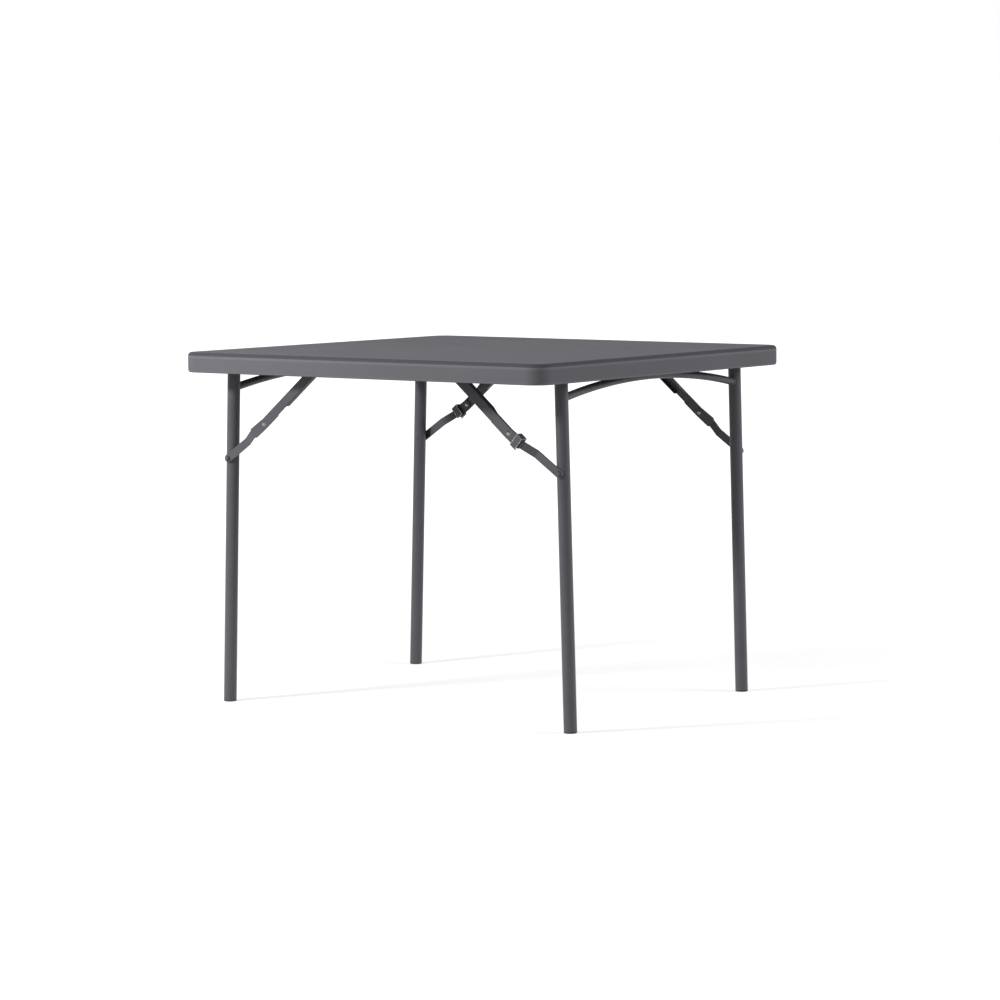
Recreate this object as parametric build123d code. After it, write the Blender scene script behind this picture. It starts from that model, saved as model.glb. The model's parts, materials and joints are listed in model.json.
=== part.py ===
from build123d import *
import math
import os

os.makedirs("parts", exist_ok=True)

# Folding card table: a moulded square top and two leg frames that fold flat under it.
# All lengths are in millimetres and all angles in degrees.
# Origin on the floor under the middle of the top, Z up, the leg frames at plus and minus X.

# Table top
table_side = 914.0
table_height = 743.0
rim_height = 42.0
rim_wall = 28.0
rim_draft_angle = 3.0
panel_thickness = 18.0
corner_radius = 38.0
top_edge_radius = 8.0
bottom_edge_radius = 5.0
recess_corner_radius = 22.0

# Hollows moulded into the underside of the panel
hollow_depth = 7.0
hollow_draft_angle = 20.0
hollow_columns = 6
hollow_rows = 4
hollow_rib_x = 30.0
hollow_rib_y = 32.0
hollow_rim_gap = 70.0
hollow_channel_gap = 44.0

# Channels in the underside for the folded legs and braces
channel_depth = 6.0
channel_margin = 4.0
channel_corner_radius = 12.0

# Leg frames
leg_diameter = 27.0
tube_wall = 1.2
leg_splay_angle = 1.71
rim_gap = 18.9
frame_offset = 32.0
pivot_inset = 63.8
pivot_drop = 17.0
leg_top_margin = 5.0
arch_diameter = 16.0
arch_top_drop = 17.5
arch_end_drop = 48.6

# Foot caps, each with a stem inside its leg
foot_thickness = 3.0
foot_bevel = 1.0
stem_height = 20.0

# Pivot brackets of the legs
bracket_sheet = 2.5
cheek_clearance = 0.5
cheek_tip_radius = 11.0
cheek_half_width = 16.0
ear_width = 20.0
plate_half_length = 18.0
bracket_bend_radius = 2.0
pivot_bolt_diameter = 8.0
pivot_hex_width = 13.0
pivot_head_height = 5.3
pivot_nut_height = 6.0

# Anchor brackets of the braces
anchor_flange_reach = 15.0
anchor_half_width = 16.0
anchor_tip_radius = 11.0
anchor_rivet_diameter = 6.0
anchor_head_diameter = 10.5
anchor_head_height = 2.0

# Folding braces
anchor_spacing = 244.7
leg_bolt_distance = 196.2
lock_allowance = 0.2
strap_thickness = 3.0
strap_width = 17.0
strap_bend_radius = 4.0
joggle_start = 41.0
joggle_end = 70.0
joggle_step = 13.2
link_sheet = 2.0
link_depth = 11.8
link_bend_radius = 1.8
link_end_radius = 8.6
link_lower_reach = 9.0
flange_end_gap = 46.0
flange_taper_length = 20.0
notch_length = 25.0
paddle_lower_reach = 11.0
paddle_taper_length = 6.0
tail_length = 39.0
tail_lower_reach = 9.0
tail_corner_radius = 8.0
stop_length = 36.0
stop_clearance = 0.3
elbow_rivet_diameter = 6.5
elbow_outer_head_diameter = 10.0
elbow_outer_head_height = 1.8
elbow_inner_head_diameter = 9.0
elbow_inner_head_height = 2.0
leg_bolt_diameter = 6.4
leg_bolt_head_diameter = 12.0
leg_bolt_head_height = 5.0
leg_bolt_end_diameter = 8.5
leg_bolt_end_height = 1.0

# Sliding lock rings
ring_sheet = 1.5
ring_length = 16.0
ring_rest_offset = 18.0
ring_side_clearance = 0.5

# Clearances, the overrun of every cut and the reach within which two edges count as in line
layer_gap = 0.3
running_clearance = 0.06
overrun = 2.0
edge_match = 0.01

# The flat top of a rivet's or bolt's head, as a share of its width
head_top_share = 0.6

# Heights and places worked out from the sizes above
rim_bottom = table_height - rim_height
panel_bottom = table_height - panel_thickness
channel_ceiling = panel_bottom + channel_depth
pivot_x = table_side / 2 - pivot_inset
pivot_z = channel_ceiling - pivot_drop
anchor_x = pivot_x - anchor_spacing
anchor_z = pivot_z
splay = math.radians(leg_splay_angle)
leg_radius = leg_diameter / 2
recess_side = table_side - 2 * rim_wall

# The brace links at rest: the elbow lies just under the line from the anchor to the leg bolt
leg_bolt_x = pivot_x + leg_bolt_distance * math.sin(splay)
leg_bolt_z = pivot_z - leg_bolt_distance * math.cos(splay)
brace_reach = math.hypot(leg_bolt_x - anchor_x, anchor_z - leg_bolt_z)
lower_link_length = (brace_reach - anchor_spacing + leg_bolt_distance) / 2 + lock_allowance
upper_link_length = lower_link_length + anchor_spacing - leg_bolt_distance
reach_slope = math.atan2(anchor_z - leg_bolt_z, leg_bolt_x - anchor_x)
upper_square = upper_link_length ** 2 + brace_reach ** 2 - lower_link_length ** 2
upper_corner = math.acos(upper_square / (2 * upper_link_length * brace_reach))
upper_slope = reach_slope + upper_corner
elbow_x = anchor_x + upper_link_length * math.cos(upper_slope)
elbow_z = anchor_z - upper_link_length * math.sin(upper_slope)
lower_slope = math.atan2(elbow_z - leg_bolt_z, leg_bolt_x - elbow_x)
bend = upper_slope - lower_slope
elbow_bend = math.degrees(bend)

# Layers of one corner, measured outward from the middle of its leg
cheek_inner = leg_radius + cheek_clearance
cheek_outer = cheek_inner + bracket_sheet
strap_leg_face = leg_radius + layer_gap
web_inner = strap_leg_face + joggle_step + strap_thickness + layer_gap
web_outer = web_inner + link_sheet
anchor_inner = web_outer + layer_gap
anchor_outer = anchor_inner + bracket_sheet
plate_reach = cheek_outer + ear_width
flange_reach = anchor_outer + anchor_flange_reach

# The rows of legs stand as far apart as the rim leaves room for
outer_leg_y = recess_side / 2 - rim_gap - flange_reach
inner_leg_y = outer_leg_y - 2 * frame_offset
leg_half_spacing = (outer_leg_y + inner_leg_y) / 2

# The two channels, each for the legs and braces of one row of corners
channel_low_y = inner_leg_y - plate_reach - channel_margin
channel_high_y = outer_leg_y + flange_reach + channel_margin

# Layers of one brace, measured inward from the outer face of its upper link
strap_depth = link_sheet + layer_gap
lip_depth = strap_depth + strap_thickness
stop_face = strap_width / 2 + stop_clearance
link_upper_reach = (stop_face + link_sheet) / math.cos(bend)
flange_end = upper_link_length - flange_end_gap

leg_place = Pos(pivot_x, 0, pivot_z) * Rot(0, -leg_splay_angle, 0)
upper_place = Plane(
    origin=(anchor_x, web_outer, anchor_z),
    x_dir=(math.cos(upper_slope), 0, -math.sin(upper_slope)),
    z_dir=(0, -1, 0),
).location
lower_place = Plane(
    origin=(elbow_x, web_outer, elbow_z),
    x_dir=(math.cos(lower_slope), 0, -math.sin(lower_slope)),
    z_dir=(0, -1, 0),
).location

corners = {
    "left_front": (-1, -1),
    "left_back": (-1, 1),
    "right_front": (1, -1),
    "right_back": (1, 1),
}
sides = {"left": -1, "right": 1}
ring_corners = ("left_back", "right_front")


def leg_y(side, row):
    return row * leg_half_spacing + side * frame_offset


def at_corner(shape, side, row):
    # A corner's pieces are built at plus X and plus Y, then mirrored to their own corner.
    if side < 0:
        shape = mirror(shape, about=Plane.YZ)
    if row < 0:
        shape = mirror(shape, about=Plane.XZ)
    return Pos(0, leg_y(side, row), 0) * shape


def rod(diameter, length):
    return Cylinder(diameter / 2, length, align=(Align.CENTER, Align.CENTER, Align.MIN))


def low_head(diameter, height):
    # A rivet's or bolt's head with a bevelled edge.
    radius = diameter / 2
    return Cone(radius, head_top_share * radius, height, align=(Align.CENTER, Align.CENTER, Align.MIN))


def edges_along_x(shape, y, z):
    # The edges along X at the given height, at the given distance to either side of the middle.
    found = []
    for edge in shape.edges().filter_by(Axis.X):
        middle = edge @ 0.5
        if abs(abs(middle.Y) - y) < edge_match and abs(middle.Z - z) < edge_match:
            found.append(edge)
    return found


def outward(shape, x, y, z):
    return Pos(x, y, z) * Rot(-90, 0, 0) * shape


def inward(shape, x, y, z):
    return Pos(x, y, z) * Rot(90, 0, 0) * shape


def tip_outline(half_width, tip_radius, x):
    # A tab that hangs from the channel ceiling and narrows to a round tip about a pivot.
    top = Line((x - half_width, channel_ceiling), (x + half_width, channel_ceiling))
    tip = Edge.make_circle(tip_radius).moved(Pos(x, pivot_z))
    return make_hull([top, tip])


def tip_tab(half_width, tip_radius, x, inner_y, sheet):
    # The sheet stands between inner_y and inner_y plus its thickness.
    outline = Plane.XZ * tip_outline(half_width, tip_radius, x)
    return Pos(0, inner_y + sheet, 0) * extrude(outline, amount=sheet)


def make_channel():
    half_length = pivot_x + plate_half_length + channel_margin
    outline = RectangleRounded(2 * half_length, channel_high_y - channel_low_y, channel_corner_radius)
    middle = Pos(0, (channel_low_y + channel_high_y) / 2, panel_bottom)
    return middle * extrude(outline, amount=channel_depth)


def make_hollows():
    # Rows of hollows, with ribs between them, fill the panel between the two channels.
    pitch_x = (recess_side - 2 * hollow_rim_gap + hollow_rib_x) / hollow_columns
    pitch_y = (2 * (channel_low_y - hollow_channel_gap) + hollow_rib_y) / hollow_rows
    outline = Rectangle(pitch_x - hollow_rib_x, pitch_y - hollow_rib_y)
    hollow = extrude(outline, amount=hollow_depth, taper=hollow_draft_angle)
    hollow = Pos(0, 0, panel_bottom) * hollow
    return [place * hollow for place in GridLocations(pitch_x, pitch_y, hollow_columns, hollow_rows)]


def make_tabletop():
    outline = RectangleRounded(table_side, table_side, corner_radius)
    top = Pos(0, 0, rim_bottom) * extrude(outline, amount=rim_height)
    top = fillet(top.faces().sort_by(Axis.Z)[-1].edges(), top_edge_radius)
    top = fillet(top.faces().sort_by(Axis.Z)[0].edges(), bottom_edge_radius)
    recess_outline = RectangleRounded(recess_side, recess_side, recess_corner_radius)
    recess = extrude(recess_outline, amount=rim_height - panel_thickness, taper=rim_draft_angle)
    top -= Pos(0, 0, rim_bottom) * recess
    channel = make_channel()
    top -= [channel, mirror(channel, about=Plane.XZ)]
    return top - make_hollows()


def make_leg_tube():
    length = leg_top_margin + pivot_z / math.cos(splay) - foot_thickness
    tube = rod(leg_diameter, length) - rod(leg_diameter - 2 * tube_wall, length)
    leg = leg_place * Pos(0, 0, leg_top_margin - length) * tube
    pivot_hole = rod(pivot_bolt_diameter + 2 * running_clearance, leg_diameter + 2 * overrun)
    bolt_hole = rod(leg_bolt_diameter, leg_diameter + 2 * overrun)
    start = -leg_radius - overrun
    leg -= outward(pivot_hole, pivot_x, start, pivot_z)
    return leg - outward(bolt_hole, leg_bolt_x, start, leg_bolt_z)


def make_foot_cap():
    # A foot as wide as its leg, cut level with the floor, with a stem that fits inside the leg.
    length = pivot_z / math.cos(splay)
    below = leg_radius * math.tan(splay)
    foot = rod(leg_diameter, foot_thickness + below)
    foot = chamfer(foot.edges().sort_by(Axis.Z)[0], foot_bevel + below)
    stem_diameter = leg_diameter - 2 * tube_wall - 2 * running_clearance
    foot += Pos(0, 0, foot_thickness + below) * rod(stem_diameter, stem_height)
    return split(leg_place * Pos(0, 0, -length - below) * foot, bisect_by=Plane.XY, keep=Keep.TOP)


def make_arch():
    # A shallow arch between the two legs of a frame, coped to them and closed by them at both ends.
    ends = (0, leg_half_spacing, -arch_end_drop)
    path = ThreePointArc((0, -leg_half_spacing, -arch_end_drop), (0, 0, -arch_top_drop), ends)
    section = Plane(origin=path @ 0, z_dir=path % 0) * Circle(arch_diameter / 2)
    arch = sweep(section, path=path)
    for y in (-leg_half_spacing, leg_half_spacing):
        arch -= Pos(0, y, -arch_end_drop - arch_diameter) * rod(leg_diameter, 2 * arch_diameter)
    return leg_place * arch


def make_leg_bolt():
    # The leg's share of the opened pivot: a shank in the tube with a low end on the inner side.
    shank = outward(rod(leg_bolt_diameter, leg_diameter), leg_bolt_x, -leg_radius, leg_bolt_z)
    end = low_head(leg_bolt_end_diameter, leg_bolt_end_height)
    return shank + inward(end, leg_bolt_x, -leg_radius, leg_bolt_z)


def make_pivot_bracket():
    plate_outline = Rectangle(2 * plate_half_length, 2 * plate_reach)
    plate = Pos(pivot_x, 0, channel_ceiling) * extrude(plate_outline, amount=-bracket_sheet)
    cheek = tip_tab(cheek_half_width, cheek_tip_radius, pivot_x, cheek_inner, bracket_sheet)
    bracket = plate + [cheek, mirror(cheek, about=Plane.XZ)]
    bends = edges_along_x(bracket, cheek_outer, channel_ceiling - bracket_sheet)
    bracket = fillet(bends, bracket_bend_radius)
    hole = rod(pivot_bolt_diameter, 2 * cheek_outer + 2 * overrun)
    return bracket - outward(hole, pivot_x, -cheek_outer - overrun, pivot_z)


def make_pivot_bolt():
    shank = outward(rod(pivot_bolt_diameter, 2 * cheek_outer), pivot_x, -cheek_outer, pivot_z)
    hexagon = RegularPolygon(pivot_hex_width / 2, 6, major_radius=False)
    head = outward(extrude(hexagon, amount=pivot_head_height), pivot_x, cheek_outer, pivot_z)
    nut = inward(extrude(hexagon, amount=pivot_nut_height), pivot_x, -cheek_outer, pivot_z)
    return shank + head + nut


def make_anchor_bracket():
    web = tip_tab(anchor_half_width, anchor_tip_radius, anchor_x, anchor_inner, bracket_sheet)
    flange_outline = Rectangle(2 * anchor_half_width, flange_reach - anchor_inner)
    flange_middle = Pos(anchor_x, (anchor_inner + flange_reach) / 2, channel_ceiling)
    bracket = web + flange_middle * extrude(flange_outline, amount=-bracket_sheet)
    bends = edges_along_x(bracket, anchor_outer, channel_ceiling - bracket_sheet)
    bracket = fillet(bends, bracket_bend_radius)
    hole = rod(anchor_rivet_diameter, bracket_sheet + 2 * overrun)
    return bracket - outward(hole, anchor_x, anchor_inner - overrun, anchor_z)


def make_anchor_rivet():
    inner_end = web_inner - layer_gap
    shank = outward(rod(anchor_rivet_diameter, anchor_outer - inner_end), anchor_x, inner_end, anchor_z)
    head = low_head(anchor_head_diameter, anchor_head_height)
    inner = inward(head, anchor_x, inner_end, anchor_z)
    outer = outward(head, anchor_x, anchor_outer, anchor_z)
    return shank + inner + outer


def paddle_outline(arm_reach):
    # The web widens below the elbow, and its tail follows the strap past the elbow.
    tail_end = upper_link_length + tail_length
    points = [
        (flange_end, 0),
        (upper_link_length, 0),
        (upper_link_length, link_upper_reach),
        (tail_end, link_upper_reach + tail_length * math.tan(bend)),
        (tail_end, -tail_lower_reach),
        (upper_link_length, -paddle_lower_reach),
        (flange_end + paddle_taper_length, -paddle_lower_reach),
        (flange_end, -arm_reach),
    ]
    paddle = make_face(Polyline(*points, close=True))
    return fillet(paddle.vertices().group_by(Axis.X)[-1], tail_corner_radius)


def flange(profile, outer_y):
    # A flange's profile is drawn along the link and inward, and its outer face is at outer_y.
    thickness = math.copysign(link_sheet, outer_y)
    face = make_face(Polyline(*profile, close=True))
    return Pos(0, outer_y, 0) * extrude(Plane.XZ * face, amount=thickness)


def make_upper_link(arm_reach):
    # The upper flange runs on as a low lip past the end of its full depth.
    upper_profile = [
        (0, 0),
        (upper_link_length, 0),
        (upper_link_length, lip_depth),
        (flange_end, lip_depth),
        (flange_end - flange_taper_length, link_depth),
        (0, link_depth),
    ]
    lower_end = flange_end - notch_length
    lower_profile = [(0, 0), (lower_end, 0), (lower_end, link_depth), (0, link_depth)]
    arm_width = arm_reach + link_upper_reach
    link = Box(upper_link_length, arm_width, link_sheet, align=(Align.MIN, Align.MIN, Align.MIN))
    link = Pos(0, -arm_reach, 0) * link
    link += flange(upper_profile, link_upper_reach)
    link += flange(lower_profile, -arm_reach)
    bends = edges_along_x(link, link_upper_reach, 0) + edges_along_x(link, arm_reach, 0)
    link = fillet(bends, link_bend_radius)
    link += extrude(paddle_outline(arm_reach) + Circle(link_end_radius), amount=link_sheet)
    # Past the elbow the lip follows the strap, and stops it just past the straight.
    stop = Box(stop_length, link_sheet, lip_depth, align=(Align.MIN, Align.MIN, Align.MIN))
    turned = Pos(upper_link_length, 0, 0) * Rot(0, 0, elbow_bend)
    link += turned * Pos(0, stop_face, 0) * stop
    anchor_hole = rod(anchor_rivet_diameter + 2 * running_clearance, link_sheet + 2 * overrun)
    link -= Pos(0, 0, -overrun) * anchor_hole
    link -= Pos(upper_link_length, 0, -overrun) * rod(elbow_rivet_diameter, link_sheet + 2 * overrun)
    return upper_place * link


def make_lower_link():
    # A flat strap with a joggle from the elbow's layer down to the leg's, and rounded ends.
    half = strap_width / 2
    leg_depth = strap_depth + joggle_step
    slope = math.atan2(joggle_step, joggle_end - joggle_start)
    shift = strap_thickness * math.tan(slope / 2)
    end = lower_link_length + half
    points = [
        (-half, strap_depth),
        (joggle_start, strap_depth),
        (joggle_end, leg_depth),
        (end, leg_depth),
        (end, leg_depth + strap_thickness),
        (joggle_end - shift, leg_depth + strap_thickness),
        (joggle_start - shift, lip_depth),
        (-half, lip_depth),
    ]
    side_face = make_face(Polyline(*points, close=True))
    bends = side_face.vertices().sort_by(Axis.X)[2:6]
    side_face = fillet(bends, strap_bend_radius)
    strip = Pos(0, half, 0) * extrude(Plane.XZ * side_face, amount=strap_width)
    outline = Pos(lower_link_length / 2, 0, 0) * SlotOverall(lower_link_length + strap_width, strap_width)
    link = strip & extrude(outline, amount=leg_depth + strap_thickness)
    link -= rod(elbow_rivet_diameter + 2 * running_clearance, lip_depth + overrun)
    leg_hole = rod(leg_bolt_diameter, strap_thickness + 2 * overrun)
    link -= Pos(lower_link_length, 0, leg_depth - overrun) * leg_hole
    return lower_place * link


def make_elbow_rivet():
    grip = lip_depth + layer_gap
    outer = Rot(180, 0, 0) * low_head(elbow_outer_head_diameter, elbow_outer_head_height)
    inner = Pos(0, 0, grip) * low_head(elbow_inner_head_diameter, elbow_inner_head_height)
    return lower_place * (rod(elbow_rivet_diameter, grip) + outer + inner)


def make_link_bolt():
    # The strap's share of the opened pivot: the bolt's head and the end that fills the strap's hole.
    shank = outward(rod(leg_bolt_diameter, strap_thickness), leg_bolt_x, strap_leg_face, leg_bolt_z)
    face = strap_leg_face + strap_thickness
    head = outward(low_head(leg_bolt_head_diameter, leg_bolt_head_height), leg_bolt_x, face, leg_bolt_z)
    return shank + head


def make_lock_ring():
    # A clip round the link, open on its lower side where the strap swings out.
    reach = ring_rest_offset + ring_length
    back = link_upper_reach + reach * math.tan(bend) + ring_side_clearance
    low = -paddle_lower_reach - ring_side_clearance
    outer = -elbow_outer_head_height - ring_side_clearance
    inner = link_depth + layer_gap
    points = [
        (link_sheet, low - ring_sheet),
        (outer - ring_sheet, low - ring_sheet),
        (outer - ring_sheet, back + ring_sheet),
        (inner + ring_sheet, back + ring_sheet),
        (inner + ring_sheet, low),
        (inner, low),
        (inner, back),
        (outer, back),
        (outer, low),
        (link_sheet, low),
    ]
    face = make_face(Polyline(*points, close=True))
    lowest = face.vertices().group_by(Axis.Y)[0]
    bends = face.vertices().group_by(Axis.Y)[-1] + lowest.sort_by(Axis.X)[:1]
    face = fillet(bends, ring_sheet)
    section = Plane(origin=(0, 0, 0), x_dir=(0, 0, 1), z_dir=(-1, 0, 0)) * face
    return upper_place * Pos(upper_link_length + reach, 0, 0) * extrude(section, amount=ring_length)


def save(shape, name):
    export_step(shape, f"parts/{name}.step")


def save_group(shapes, name):
    save(Compound(children=shapes), name)


save(make_tabletop(), "tabletop")

corner_pieces = {
    "pivot_bracket": make_pivot_bracket(),
    "anchor_bracket": make_anchor_bracket(),
    "leg_tube": make_leg_tube(),
    "foot_cap": make_foot_cap(),
    "lower_link": make_lower_link(),
    "elbow_rivet": make_elbow_rivet(),
    "strap_bolt": make_link_bolt(),
}
for corner, (side, row) in corners.items():
    for piece, shape in corner_pieces.items():
        save(at_corner(shape, side, row), f"{piece}_{corner}")

# Links with a lock ring have a straight lower edge for it to slide along, and the others a wider paddle.
for corner, (side, row) in corners.items():
    arm_reach = paddle_lower_reach if corner in ring_corners else link_lower_reach
    save(at_corner(make_upper_link(arm_reach), side, row), f"upper_link_{corner}")

pivot_bolt = make_pivot_bolt()
save_group([at_corner(pivot_bolt, side, row) for side, row in corners.values()], "pivot_bolts")
anchor_rivet = make_anchor_rivet()
save_group([at_corner(anchor_rivet, side, row) for side, row in corners.values()], "anchor_rivets")

arch = make_arch()
leg_bolt = make_leg_bolt()
for name, side in sides.items():
    frame_arch = arch if side > 0 else mirror(arch, about=Plane.YZ)
    save(Pos(0, side * frame_offset, 0) * frame_arch, f"arch_tube_{name}")
    save_group([at_corner(leg_bolt, side, row) for row in (-1, 1)], f"leg_bolts_{name}")

lock_ring = make_lock_ring()
for corner in ring_corners:
    side, row = corners[corner]
    save(at_corner(lock_ring, side, row), f"lock_ring_{corner}")
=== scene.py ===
import json
import math
import bmesh
import bpy
from mathutils import Matrix, Vector


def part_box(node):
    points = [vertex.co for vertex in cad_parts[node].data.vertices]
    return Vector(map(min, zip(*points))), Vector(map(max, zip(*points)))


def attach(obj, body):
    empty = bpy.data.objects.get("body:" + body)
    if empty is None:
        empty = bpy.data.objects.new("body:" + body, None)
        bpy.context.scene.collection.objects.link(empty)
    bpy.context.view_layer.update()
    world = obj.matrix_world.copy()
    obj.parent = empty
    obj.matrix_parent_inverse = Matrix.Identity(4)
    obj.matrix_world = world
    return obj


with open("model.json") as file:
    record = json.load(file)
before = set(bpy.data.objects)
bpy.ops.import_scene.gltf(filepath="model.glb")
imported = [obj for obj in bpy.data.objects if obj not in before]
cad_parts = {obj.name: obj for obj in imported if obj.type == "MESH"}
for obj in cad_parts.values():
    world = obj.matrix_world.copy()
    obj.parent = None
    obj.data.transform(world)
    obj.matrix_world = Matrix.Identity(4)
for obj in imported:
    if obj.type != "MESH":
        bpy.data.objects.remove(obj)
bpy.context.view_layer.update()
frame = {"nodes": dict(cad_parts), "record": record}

MM = 0.001

# Camera: place in metres, turn about Z, tilt and roll in radians, lens for a 36 mm sensor
CAMERA_PLACE = Vector((4.03675, -5.62387, 1.08359))
CAMERA_YAW = 0.6186
CAMERA_PITCH = 0.0955
CAMERA_ROLL = -0.0039
CAMERA_LENS = 117.77
SENSOR_WIDTH = 36.0

# Lamps: each stands off the target by a turn about Z from +X, a height angle and a distance
TARGET = Vector((0.0, 0.0, 0.55))
KEY_TURN = math.radians(241.0)
KEY_HEIGHT = math.radians(23.5)
KEY_DISTANCE = 3.4
KEY_SIZE = 0.35
KEY_POWER = 99.0
FILL_TURN = math.radians(30.0)
FILL_HEIGHT = math.radians(20.0)
FILL_DISTANCE = 5.6
FILL_SIZE = 1.7
FILL_POWER = 140.0
AMBIENT_STRENGTH = 0.52

# Floor: a matt sheet that takes the shadow, and a glow that only the camera and reflections see.
# The glow grows between the two fade distances, where the lamps no longer reach.
FLOOR_RADIUS = 40.0
FLOOR_SEGMENTS = 64
FLOOR_SHADE = 0.42
FLOOR_UNEVEN = 0.03
FLOOR_NOISE_SCALE = 40.0
FLOOR_GLOW = (0.64, 0.99)
FLOOR_FADE = (0.8, 4.0)

# Bracket screws: pan heads with a cross recess
SCREW_HEAD_RADIUS = 4.6 * MM
SCREW_HEAD_HEIGHT = 2.4 * MM
SCREW_STRAIGHT_SHARE = 0.35
SCREW_ARC_STEPS = 8
SCREW_SPIN_STEPS = 32
SCREW_RECESS_LENGTH = 5.0 * MM
SCREW_RECESS_WIDTH = 1.0 * MM
SCREW_RECESS_DEPTH = 1.3 * MM
SCREW_TURN_STEP = 0.7

# The CAD brackets that the screws hold
BRACKET_SHEET = 2.5 * MM
EAR_LENGTH = 20.0 * MM
EAR_SCREW_HALF_SPACING = 11.0 * MM
ANCHOR_SCREW_HALF_SPACING = 10.0 * MM
ANCHOR_FLANGE = 15.0 * MM

# Weld beads, and the CAD tubes that they join
WELD_RADIUS = 1.5 * MM
WELD_STEPS = 28
WELD_RESOLUTION = 3
LEG_RADIUS = 13.5 * MM
ARCH_RADIUS = 8.0 * MM
SPLAY = math.radians(1.71)
PIVOT_HEIGHT = 714.0 * MM
PIVOT_REACH = 393.2 * MM
ARCH_END_DROP = 46.1 * MM
ARCH_END_SLOPE = math.radians(10.4)

# A noise texture gives values between about these two, and a cloud stretches them
NOISE_SPAN = (0.3, 0.7)

# Edge wear, and on the lock rings a painted highlight too: the cosine between the true normal and the
# rounded one, where wear starts and is full
EDGE_SPAN = (0.99, 0.86)
EDGE_SAMPLES = 4

# Below, colours are in linear light, noise scales are in grains to a metre, a slant is the Z part
# of the normal, a span is where a mask starts and is full, and a bump is a strength and a depth.

# Top plastic
TOP_DARK = (0.112, 0.112, 0.124)
TOP_LIGHT = (0.130, 0.130, 0.142)
# Colour of the scuffed edges, and also of the painted highlight line on the rim
TOP_SCUFF_AND_HIGHLIGHT = (0.19, 0.19, 0.20)
# Painted shade: a darker band on the rounded edge between the panel and the rim
TOP_ROUNDING_SHADE = (0.069, 0.070, 0.077)
# Painted reflection of the floor: the rim's rounded bottom edge is lighter
TOP_LOWER_EDGE_REFLECTION = (0.18, 0.18, 0.195)
TOP_BROAD_SCALE = 5.0
TOP_BROAD_DETAIL = 2.0
TOP_BROAD_SHARE = 0.6
TOP_FINE_SCALE = 260.0
TOP_FINE_DETAIL = 4.0
TOP_SCUFF_RADIUS = 2.0 * MM
TOP_SCUFF_SCALE = 35.0
TOP_SCUFF_SPAN = (0.4, 0.65)
TOP_SCUFF_AMOUNT = (0.0, 0.4)
# Where the painted shade on the rounded edge lies, by height and slant
ROUNDING_HEIGHT_SPAN = (731.0 * MM, 733.0 * MM)
ROUNDING_RIM_SLANT = (0.08, 0.22)
ROUNDING_PANEL_SLANT = (0.997, 0.95)
# Painted highlight: a light line on the rim just under the rounded top edge
PAINTED_HIGHLIGHT_HEIGHT_SPAN = (730.0 * MM, 732.0 * MM)
PAINTED_HIGHLIGHT_SLANT = (0.06, 0.14)
PAINTED_HIGHLIGHT_AMOUNT = (0.4, 0.0)
# Where the painted floor reflection lies, by height and slant
LOWER_EDGE_HEIGHT_SPAN = (707.0 * MM, 706.0 * MM)
LOWER_EDGE_RIM_SLANT = (-0.1, -0.4)
LOWER_EDGE_FLAT_SLANT = (-0.999, -0.97)
TOP_PEBBLE_SCALE = 700.0
TOP_PEBBLE_ROUGHNESS = 0.6
TOP_BUMP = (0.5, 0.3 * MM)
TOP_GRAIN_SPAN = (0.3, 1.7)
TOP_ROUGHNESS = (0.68, 0.82)
TOP_SPECULAR = 0.04

# Foot plastic. Its heights are above the floor.
FOOT_DARK = (0.085, 0.086, 0.096)
FOOT_LIGHT = (0.100, 0.101, 0.112)
FOOT_DUSTY = (0.16, 0.16, 0.165)
FOOT_JOINT = (0.02, 0.02, 0.024)
FOOT_CLOUD_SCALE = 60.0
FOOT_DUST_SPAN = (0.0, 1.0 * MM)
FOOT_DUST_AMOUNT = (0.5, 0.0)
FOOT_JOINT_SPAN = (1.9 * MM, 2.6 * MM)
FOOT_JOINT_AMOUNT = (0.0, 0.9)
FOOT_GRAIN_SCALE = 1100.0
FOOT_GRAIN_ROUGHNESS = 0.6
FOOT_BUMP = (0.3, 0.1 * MM)
FOOT_ROUGHNESS = (0.55, 0.7)
FOOT_SPECULAR = 0.2

# Frame paint
PAINT_DARK = (0.067, 0.068, 0.077)
PAINT_LIGHT = (0.081, 0.082, 0.092)
PAINT_THIN = (0.15, 0.15, 0.163)
# Painted light: the paint turns lighter towards the floor, in mottled patches
PAINT_PAINTED_LIGHT = (0.15, 0.15, 0.16)
PAINT_CLOUD_SCALE = 14.0
PAINT_CLOUD_SHARE = 0.7
PAINT_SPECK_SCALE = 1400.0
PAINT_SPECK_DETAIL = 2.0
PAINT_SPECK_SPAN = (0.35, 0.75)
PAINT_EDGE_RADIUS = 0.7 * MM
PAINT_EDGE_SCALE = 90.0
PAINT_EDGE_SPAN = (0.35, 0.65)
PAINT_EDGE_AMOUNT = (0.1, 0.5)
# Painted light: full at the floor and gone at the first height
PAINTED_LIGHT_HEIGHT_SPAN = (600.0 * MM, 0.0)
PAINTED_LIGHT_SCALE = 24.0
PAINTED_LIGHT_DETAIL = 4.0
PAINTED_LIGHT_AMOUNT = (0.3, 0.44)
PAINT_PEEL_SCALE = 520.0
PAINT_PEEL_DETAIL = 2.0
PAINT_BUMP = (0.35, 0.08 * MM)
PAINT_ROUGHNESS = (0.36, 0.46)
PAINT_SPECULAR = 0.22

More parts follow.
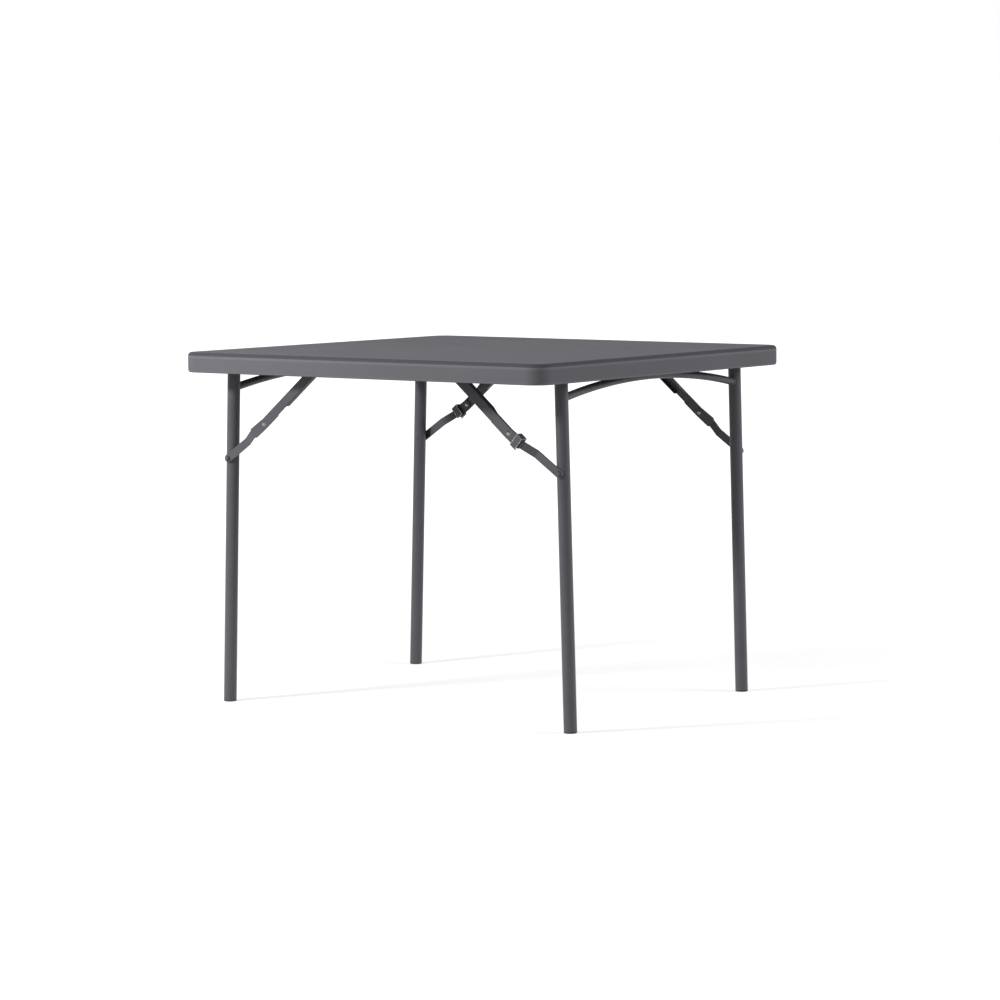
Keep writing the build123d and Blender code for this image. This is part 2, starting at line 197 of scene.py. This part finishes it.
# Zinc plate
ZINC_DARK = (0.17, 0.172, 0.18)
ZINC_LIGHT = (0.27, 0.272, 0.28)
ZINC_RUBBED = (0.5, 0.5, 0.51)
ZINC_CLOUD_SCALE = 90.0
ZINC_CLOUD_DETAIL = 4.0
ZINC_EDGE_RADIUS = 0.5 * MM
ZINC_EDGE_AMOUNT = 0.5
ZINC_BRUSH_SCALE = 1800.0
ZINC_BRUSH_DETAIL = 2.0
ZINC_BRUSH_ROUGHNESS = 0.7
ZINC_BUMP = (0.2, 0.03 * MM)
ZINC_ROUGHNESS = (0.26, 0.4)

# Lock rings
# Bare steel on the rubbed edges, and also a painted highlight on the ring's ends
RING_WORN_AND_GLINT = (0.66, 0.66, 0.67)
RING_CLOUD_SCALE = 60.0
RING_WEAR_AND_GLINT_RADIUS = 2.6 * MM
RING_WEAR_AND_GLINT_SCALE = 160.0
RING_WEAR_AND_GLINT_SPAN = (0.3, 0.6)
RING_WEAR_AND_GLINT_AMOUNT = (0.5, 1.0)
RING_WORN_METALLIC = 0.8
RING_SMEAR_SCALE = 700.0
RING_BUMP = (0.2, 0.05 * MM)
RING_ROUGHNESS = (0.32, 0.46)
RING_SPECULAR = 0.25

SIDES = {"left": -1, "right": 1}
ROWS = {"front": -1, "back": 1}

# The mix node has a pair of inputs and an output for each kind of value, all under the same names
MIX_NUMBER_INPUTS = (2, 3)
MIX_NUMBER_OUTPUT = 0
MIX_COLOUR_INPUTS = (6, 7)
MIX_COLOUR_OUTPUT = 2


class Graph:
    """Short calls for the nodes of one material. A value may be a number or another node's output."""

    def __init__(self, name):
        self.material = bpy.data.materials.new(name)
        self.material.use_nodes = True
        self.nodes = self.material.node_tree.nodes
        self.links = self.material.node_tree.links
        self.nodes.clear()
        self.output = self.nodes.new("ShaderNodeOutputMaterial")
        self.position = self.nodes.new("ShaderNodeTexCoord").outputs["Object"]

    def feed(self, socket, value):
        if isinstance(value, bpy.types.NodeSocket):
            self.links.new(value, socket)
        else:
            socket.default_value = value

    def node(self, kind, inputs, **settings):
        made = self.nodes.new(kind)
        for key, value in settings.items():
            setattr(made, key, value)
        for key, value in inputs.items():
            self.feed(made.inputs[key], value)
        return made

    def z_of(self, vector):
        return self.node("ShaderNodeSeparateXYZ", {"Vector": vector}).outputs["Z"]

    def height(self):
        return self.z_of(self.position)

    def normal(self):
        return self.node("ShaderNodeNewGeometry", {}).outputs["Normal"]

    def noise(self, scale, detail=3.0, roughness=0.5):
        inputs = {"Vector": self.position, "Scale": scale, "Detail": detail, "Roughness": roughness}
        return self.node("ShaderNodeTexNoise", inputs).outputs["Fac"]

    def ramp(self, value, span, result=(0.0, 1.0)):
        """From the first result, where the value is at the span's start, to the second at its end."""
        inputs = {"Value": value, "From Min": span[0], "From Max": span[1],
                  "To Min": result[0], "To Max": result[1]}
        return self.node("ShaderNodeMapRange", inputs, clamp=True).outputs["Result"]

    def cloud(self, scale, detail=3.0, result=(0.0, 1.0)):
        return self.ramp(self.noise(scale, detail), NOISE_SPAN, result)

    def mix(self, amount, one, two):
        made = self.node("ShaderNodeMix", {"Factor": amount}, data_type="RGBA")
        for number, value in zip(MIX_COLOUR_INPUTS, (one, two)):
            opaque = value if isinstance(value, bpy.types.NodeSocket) else (*value, 1.0)
            self.feed(made.inputs[number], opaque)
        return made.outputs[MIX_COLOUR_OUTPUT]

    def times(self, one, two):
        return self.node("ShaderNodeMath", {0: one, 1: two}, operation="MULTIPLY").outputs["Value"]

    def plus(self, one, two):
        return self.node("ShaderNodeMath", {0: one, 1: two}, operation="ADD").outputs["Value"]

    def blend(self, share, one, two):
        return self.plus(self.times(one, share), self.times(two, 1.0 - share))

    def bump(self, height, strength, depth):
        inputs = {"Height": height, "Strength": strength, "Distance": depth}
        return self.node("ShaderNodeBump", inputs).outputs["Normal"]

    def edges(self, radius):
        """1 along sharp edges, within the radius, and 0 elsewhere."""
        rounded = self.node("ShaderNodeBevel", {"Radius": radius}, samples=EDGE_SAMPLES).outputs["Normal"]
        inputs = {0: rounded, 1: self.normal()}
        alike = self.node("ShaderNodeVectorMath", inputs, operation="DOT_PRODUCT").outputs["Value"]
        return self.ramp(alike, EDGE_SPAN)

    def shader(self, **inputs):
        names = {key.replace("_", " "): value for key, value in inputs.items()}
        made = self.node("ShaderNodeBsdfPrincipled", names)
        self.links.new(made.outputs["BSDF"], self.output.inputs["Surface"])
        return self.material


def top_plastic(name):
    """Moulded plastic with a fine pebble grain.

    As in the photograph, the rounded edge between the panel and the rim is darker with painted shade,
    the rim has a painted highlight line just under it, and its rounded bottom edge has a painted floor
    reflection.
    """
    graph = Graph(name)
    height = graph.height()
    slant = graph.z_of(graph.normal())
    fine = graph.cloud(TOP_FINE_SCALE, TOP_FINE_DETAIL)
    mottle = graph.blend(TOP_BROAD_SHARE, graph.cloud(TOP_BROAD_SCALE, TOP_BROAD_DETAIL), fine)
    colour = graph.mix(mottle, TOP_DARK, TOP_LIGHT)
    patches = graph.ramp(graph.noise(TOP_SCUFF_SCALE), TOP_SCUFF_SPAN, TOP_SCUFF_AMOUNT)
    colour = graph.mix(graph.times(graph.edges(TOP_SCUFF_RADIUS), patches), colour, TOP_SCUFF_AND_HIGHLIGHT)
    # Painted shade: the rounded edge between the panel and the rim is darker
    rounding_shade = graph.times(graph.ramp(slant, ROUNDING_RIM_SLANT), graph.ramp(slant, ROUNDING_PANEL_SLANT))
    rounding_shade = graph.times(rounding_shade, graph.ramp(height, ROUNDING_HEIGHT_SPAN))
    colour = graph.mix(rounding_shade, colour, TOP_ROUNDING_SHADE)
    # Painted highlight: a light line on the rim just under the rounded top edge
    painted_highlight = graph.times(graph.ramp(height, PAINTED_HIGHLIGHT_HEIGHT_SPAN),
                             graph.ramp(slant, PAINTED_HIGHLIGHT_SLANT, PAINTED_HIGHLIGHT_AMOUNT))
    colour = graph.mix(painted_highlight, colour, TOP_SCUFF_AND_HIGHLIGHT)
    # Painted reflection of the floor: the rim's rounded bottom edge is lighter
    lower_edge_reflection = graph.times(graph.ramp(slant, LOWER_EDGE_RIM_SLANT), graph.ramp(slant, LOWER_EDGE_FLAT_SLANT))
    lower_edge_reflection = graph.times(lower_edge_reflection, graph.ramp(height, LOWER_EDGE_HEIGHT_SPAN))
    colour = graph.mix(lower_edge_reflection, colour, TOP_LOWER_EDGE_REFLECTION)
    pebble = graph.noise(TOP_PEBBLE_SCALE, roughness=TOP_PEBBLE_ROUGHNESS)
    roughness = graph.ramp(graph.plus(fine, pebble), TOP_GRAIN_SPAN, TOP_ROUGHNESS)
    return graph.shader(Base_Color=colour, Roughness=roughness, Normal=graph.bump(pebble, *TOP_BUMP),
                        Specular_IOR_Level=TOP_SPECULAR)


def foot_plastic(name):
    """Softer moulded plastic, dusty where it meets the floor and dark in the joint with the tube."""
    graph = Graph(name)
    height = graph.height()
    colour = graph.mix(graph.cloud(FOOT_CLOUD_SCALE), FOOT_DARK, FOOT_LIGHT)
    colour = graph.mix(graph.ramp(height, FOOT_DUST_SPAN, FOOT_DUST_AMOUNT), colour, FOOT_DUSTY)
    colour = graph.mix(graph.ramp(height, FOOT_JOINT_SPAN, FOOT_JOINT_AMOUNT), colour, FOOT_JOINT)
    grain = graph.noise(FOOT_GRAIN_SCALE, roughness=FOOT_GRAIN_ROUGHNESS)
    roughness = graph.ramp(grain, NOISE_SPAN, FOOT_ROUGHNESS)
    return graph.shader(Base_Color=colour, Roughness=roughness, Normal=graph.bump(grain, *FOOT_BUMP),
                        Specular_IOR_Level=FOOT_SPECULAR)


def powder_coat(name):
    """Baked paint with a fine peel, thinner and lighter along the edges, and lighter towards the floor
    with painted light.
    """
    graph = Graph(name)
    cloud = graph.cloud(PAINT_CLOUD_SCALE)
    speck = graph.ramp(graph.noise(PAINT_SPECK_SCALE, PAINT_SPECK_DETAIL), PAINT_SPECK_SPAN)
    colour = graph.mix(graph.blend(PAINT_CLOUD_SHARE, cloud, speck), PAINT_DARK, PAINT_LIGHT)
    patches = graph.ramp(graph.noise(PAINT_EDGE_SCALE), PAINT_EDGE_SPAN, PAINT_EDGE_AMOUNT)
    colour = graph.mix(graph.times(graph.edges(PAINT_EDGE_RADIUS), patches), colour, PAINT_THIN)
    # Painted light: the paint is lighter towards the floor
    painted_light = graph.times(graph.ramp(graph.height(), PAINTED_LIGHT_HEIGHT_SPAN),
                       graph.cloud(PAINTED_LIGHT_SCALE, PAINTED_LIGHT_DETAIL, PAINTED_LIGHT_AMOUNT))
    colour = graph.mix(painted_light, colour, PAINT_PAINTED_LIGHT)
    peel = graph.noise(PAINT_PEEL_SCALE, PAINT_PEEL_DETAIL)
    roughness = graph.ramp(cloud, (0.0, 1.0), PAINT_ROUGHNESS)
    return graph.shader(Base_Color=colour, Roughness=roughness, Normal=graph.bump(peel, *PAINT_BUMP),
                        Specular_IOR_Level=PAINT_SPECULAR)


def zinc_plate(name):
    """Plated steel with a fine brushed finish, brighter where it is rubbed along the edges."""
    graph = Graph(name)
    brush = graph.noise(ZINC_BRUSH_SCALE, ZINC_BRUSH_DETAIL, ZINC_BRUSH_ROUGHNESS)
    colour = graph.mix(graph.cloud(ZINC_CLOUD_SCALE, ZINC_CLOUD_DETAIL), ZINC_DARK, ZINC_LIGHT)
    rubbed = graph.times(graph.edges(ZINC_EDGE_RADIUS), ZINC_EDGE_AMOUNT)
    colour = graph.mix(rubbed, colour, ZINC_RUBBED)
    roughness = graph.ramp(brush, NOISE_SPAN, ZINC_ROUGHNESS)
    return graph.shader(Base_Color=colour, Roughness=roughness, Normal=graph.bump(brush, *ZINC_BUMP),
                        Metallic=1.0)


def ring_steel(name):
    """The frame's paint, rubbed to bright steel along the edges by the hand and the link; the bright edges
    also serve as a painted highlight on the ring's ends.
    """
    graph = Graph(name)
    colour = graph.mix(graph.cloud(RING_CLOUD_SCALE), PAINT_DARK, PAINT_LIGHT)
    patches = graph.ramp(graph.noise(RING_WEAR_AND_GLINT_SCALE), RING_WEAR_AND_GLINT_SPAN, RING_WEAR_AND_GLINT_AMOUNT)
    # Wear to bare steel along the edges; its bright colour is also a painted highlight on the ring's ends
    wear_and_glint = graph.times(graph.edges(RING_WEAR_AND_GLINT_RADIUS), patches)
    colour = graph.mix(wear_and_glint, colour, RING_WORN_AND_GLINT)
    roughness = graph.cloud(RING_SMEAR_SCALE, result=RING_ROUGHNESS)
    peel = graph.noise(PAINT_PEEL_SCALE, PAINT_PEEL_DETAIL)
    return graph.shader(Base_Color=colour, Roughness=roughness, Normal=graph.bump(peel, *RING_BUMP),
                        Metallic=graph.times(wear_and_glint, RING_WORN_METALLIC), Specular_IOR_Level=RING_SPECULAR)


MATERIALS = {
    "top_plastic": top_plastic("top_plastic"),
    "foot_plastic": foot_plastic("foot_plastic"),
    "frame_paint": powder_coat("frame_paint"),
    "zinc_steel": zinc_plate("zinc_steel"),
    "ring_steel": ring_steel("ring_steel"),
}


def dress_cad_nodes():
    slots = {part["node"]: part["material_slot"] for part in frame["record"]["subparts"]}
    for name, node in frame["nodes"].items():
        node.data.materials.clear()
        node.data.materials.append(MATERIALS[slots[name]])


def new_object(name, data):
    made = bpy.data.objects.new(name, data)
    bpy.context.scene.collection.objects.link(made)
    return made


def new_mesh(name, shape):
    """A mesh made from a bmesh, which is used up."""
    mesh = bpy.data.meshes.new(name)
    shape.to_mesh(mesh)
    shape.free()
    return mesh


def new_piece(name, data, slot, body, place):
    piece = new_object(name, data)
    piece.matrix_world = place
    if not data.materials:
        data.materials.append(MATERIALS[slot])
    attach(piece, body)


def spin_mesh(name, profile, steps):
    """A closed mesh that turns (radius, height) points about Z. The first and last lie on the axis."""
    shape = bmesh.new()
    turns = [2 * math.pi * step / steps for step in range(steps)]
    circle = [(math.cos(turn), math.sin(turn)) for turn in turns]
    rings = []
    for radius, height in profile:
        points = [(radius * x, radius * y, height) for x, y in circle] if radius else [(0, 0, height)]
        rings.append([shape.verts.new(point) for point in points])
    for low, high in zip(rings, rings[1:]):
        for step in range(steps):
            after = (step + 1) % steps
            corners = [low[step % len(low)], low[after % len(low)]]
            corners += [high[after % len(high)], high[step % len(high)]]
            shape.faces.new(list(dict.fromkeys(corners)))
    bmesh.ops.recalc_face_normals(shape, faces=shape.faces)
    mesh = new_mesh(name, shape)
    mesh.shade_smooth()
    return mesh


def box_mesh(name, size):
    shape = bmesh.new()
    bmesh.ops.create_cube(shape, size=1.0, matrix=Matrix.Diagonal((*size, 1.0)))
    return new_mesh(name, shape)


def screw_mesh():
    """A pan head with a cross recess. It hangs below z = 0."""
    straight = SCREW_STRAIGHT_SHARE * SCREW_HEAD_HEIGHT
    domed = SCREW_HEAD_HEIGHT - straight
    angles = [math.pi / 2 * step / SCREW_ARC_STEPS for step in range(SCREW_ARC_STEPS)]
    arc = [(SCREW_HEAD_RADIUS * math.cos(a), -straight - domed * math.sin(a)) for a in angles]
    profile = [(0, 0), (SCREW_HEAD_RADIUS, 0), *arc, (0, -SCREW_HEAD_HEIGHT)]
    head = new_object("screw_head", spin_mesh("screw_head", profile, SCREW_SPIN_STEPS))
    size = (SCREW_RECESS_LENGTH, SCREW_RECESS_WIDTH, 2 * SCREW_RECESS_DEPTH)
    cutters = []
    for turn in (0, math.pi / 2):
        cutter = new_object("screw_recess", box_mesh("screw_recess", size))
        cutter.location.z = -SCREW_HEAD_HEIGHT
        cutter.rotation_euler.z = turn
        cut = head.modifiers.new("recess", "BOOLEAN")
        cut.operation = "DIFFERENCE"
        cut.object = cutter
        cutters.append(cutter)
    bpy.context.view_layer.update()
    mesh = bpy.data.meshes.new_from_object(head.evaluated_get(bpy.context.evaluated_depsgraph_get()))
    for used in [head, *cutters]:
        bpy.data.objects.remove(used)
    mesh.name = "bracket_screw"
    return mesh


def add_screws():
    """Four screws in the ears of each pivot bracket and two in the flange of each anchor bracket."""
    mesh = screw_mesh()
    for side in SIDES:
        for row, row_sign in ROWS.items():
            corner = f"{side}_{row}"
            low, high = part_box(f"pivot_bracket_{corner}")
            x = (low[0] + high[0]) / 2
            under = high[2] - BRACKET_SHEET
            ears = (low[1] + EAR_LENGTH / 2, high[1] - EAR_LENGTH / 2)
            places = [(x + step * EAR_SCREW_HALF_SPACING, y) for step in (-1, 1) for y in ears]
            low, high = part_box(f"anchor_bracket_{corner}")
            x = (low[0] + high[0]) / 2
            y = high[1] - ANCHOR_FLANGE / 2 if row_sign > 0 else low[1] + ANCHOR_FLANGE / 2
            places += [(x + step * ANCHOR_SCREW_HALF_SPACING, y) for step in (-1, 1)]
            for number, (x, y) in enumerate(places):
                turn = Matrix.Rotation(SCREW_TURN_STEP * number, 4, "Z")
                place = Matrix.Translation((x, y, under)) @ turn
                new_piece(f"bracket_screw_{corner}_{number}", mesh, "zinc_steel", "tabletop", place)


def weld_curve(name, row_sign):
    """A bead round the arch tube where it meets the leg. It lies on both tubes.

    Its origin is the leg's pivot, with Z along the leg. The arch leaves the leg away from its row.
    """
    curve = bpy.data.curves.new(name, "CURVE")
    curve.dimensions = "3D"
    curve.bevel_depth = WELD_RADIUS
    curve.bevel_resolution = WELD_RESOLUTION
    line = curve.splines.new("POLY")
    line.points.add(WELD_STEPS - 1)
    line.use_cyclic_u = True
    for step in range(WELD_STEPS):
        angle = 2 * math.pi * step / WELD_STEPS
        across = ARCH_RADIUS * math.cos(angle)
        reach = math.sqrt(LEG_RADIUS ** 2 - across ** 2)
        drop = ARCH_END_DROP - ARCH_RADIUS * math.sin(angle) / math.cos(ARCH_END_SLOPE)
        drop += (LEG_RADIUS - reach) * math.tan(ARCH_END_SLOPE)
        line.points[step].co = (across, -row_sign * reach, -drop, 1.0)
    return curve


def add_welds():
    for side, side_sign in SIDES.items():
        for row, row_sign in ROWS.items():
            low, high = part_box(f"leg_tube_{side}_{row}")
            pivot = (side_sign * PIVOT_REACH, (low[1] + high[1]) / 2, PIVOT_HEIGHT)
            name = f"arch_weld_{side}_{row}"
            place = Matrix.Translation(pivot) @ Matrix.Rotation(-side_sign * SPLAY, 4, "Y")
            new_piece(name, weld_curve(name, row_sign), "frame_paint", f"leg_frame_{side}", place)


def add_camera():
    forward = Vector((-math.sin(CAMERA_YAW) * math.cos(CAMERA_PITCH),
                      math.cos(CAMERA_YAW) * math.cos(CAMERA_PITCH),
                      -math.sin(CAMERA_PITCH)))
    right = Vector((math.cos(CAMERA_YAW), math.sin(CAMERA_YAW), 0.0))
    up = right.cross(forward)
    rolled_right = math.cos(CAMERA_ROLL) * right + math.sin(CAMERA_ROLL) * up
    rolled_up = math.cos(CAMERA_ROLL) * up - math.sin(CAMERA_ROLL) * right
    data = bpy.data.cameras.new("camera")
    data.lens = CAMERA_LENS
    data.sensor_width = SENSOR_WIDTH
    data.sensor_fit = "HORIZONTAL"
    camera = new_object("camera", data)
    turn = Matrix((rolled_right, rolled_up, -forward)).transposed().to_4x4()
    camera.matrix_world = Matrix.Translation(CAMERA_PLACE) @ turn
    bpy.context.scene.camera = camera


def add_lamp(name, turn, height, distance, size, power):
    data = bpy.data.lights.new(name, "AREA")
    data.shape = "SQUARE"
    data.size = size
    data.energy = power
    lamp = new_object(name, data)
    away = Vector((math.cos(turn) * math.cos(height), math.sin(turn) * math.cos(height), math.sin(height)))
    lamp.location = TARGET + distance * away
    lamp.rotation_euler = (-away).to_track_quat("-Z", "Y").to_euler()


def shows_background(nodes, links):
    """1 for rays from the camera and rays that metal or glass sends on, else 0."""
    path = nodes.new("ShaderNodeLightPath")
    total = path.outputs["Is Camera Ray"]
    for kind in ("Is Glossy Ray", "Is Transmission Ray"):
        add = nodes.new("ShaderNodeMath")
        add.operation = "ADD"
        add.use_clamp = True
        links.new(total, add.inputs[0])
        links.new(path.outputs[kind], add.inputs[1])
        total = add.outputs[0]
    return total


def add_world():
    """White to the camera and to reflections, and dimmer as light on the table."""
    world = bpy.data.worlds.new("studio")
    bpy.context.scene.world = world
    world.use_nodes = True
    nodes = world.node_tree.nodes
    links = world.node_tree.links
    background = nodes["Background"]
    background.inputs["Color"].default_value = (1.0, 1.0, 1.0, 1.0)
    strength = nodes.new("ShaderNodeMix")
    for number, value in zip(MIX_NUMBER_INPUTS, (AMBIENT_STRENGTH, 1.0)):
        strength.inputs[number].default_value = value
    links.new(shows_background(nodes, links), strength.inputs["Factor"])
    links.new(strength.outputs[MIX_NUMBER_OUTPUT], background.inputs["Strength"])


def add_floor():
    shape = bmesh.new()
    bmesh.ops.create_circle(shape, cap_ends=True, radius=FLOOR_RADIUS, segments=FLOOR_SEGMENTS)
    mesh = new_mesh("floor", shape)
    floor = new_object("floor", mesh)
    graph = Graph("floor_paper")
    shades = ((1.0 - FLOOR_UNEVEN) * FLOOR_SHADE, (1.0 + FLOOR_UNEVEN) * FLOOR_SHADE)
    paper = graph.cloud(FLOOR_NOISE_SCALE, result=shades)
    grey = graph.node("ShaderNodeCombineColor", {"Red": paper, "Green": paper, "Blue": paper})
    diffuse = graph.node("ShaderNodeBsdfDiffuse", {"Color": grey.outputs["Color"]}).outputs["BSDF"]
    distance = graph.node("ShaderNodeVectorMath", {0: graph.position}, operation="LENGTH")
    glow = graph.ramp(distance.outputs["Value"], FLOOR_FADE, FLOOR_GLOW)
    seen_glow = graph.times(glow, shows_background(graph.nodes, graph.links))
    emission = graph.node("ShaderNodeEmission", {"Strength": seen_glow}).outputs["Emission"]
    both = graph.node("ShaderNodeAddShader", {0: diffuse, 1: emission}).outputs["Shader"]
    graph.links.new(both, graph.output.inputs["Surface"])
    mesh.materials.append(graph.material)


dress_cad_nodes()
add_screws()
add_welds()
add_camera()
add_world()
add_floor()
add_lamp("key_lamp", KEY_TURN, KEY_HEIGHT, KEY_DISTANCE, KEY_SIZE, KEY_POWER)
add_lamp("fill_lamp", FILL_TURN, FILL_HEIGHT, FILL_DISTANCE, FILL_SIZE, FILL_POWER)
bpy.context.scene.view_settings.view_transform = "Standard"
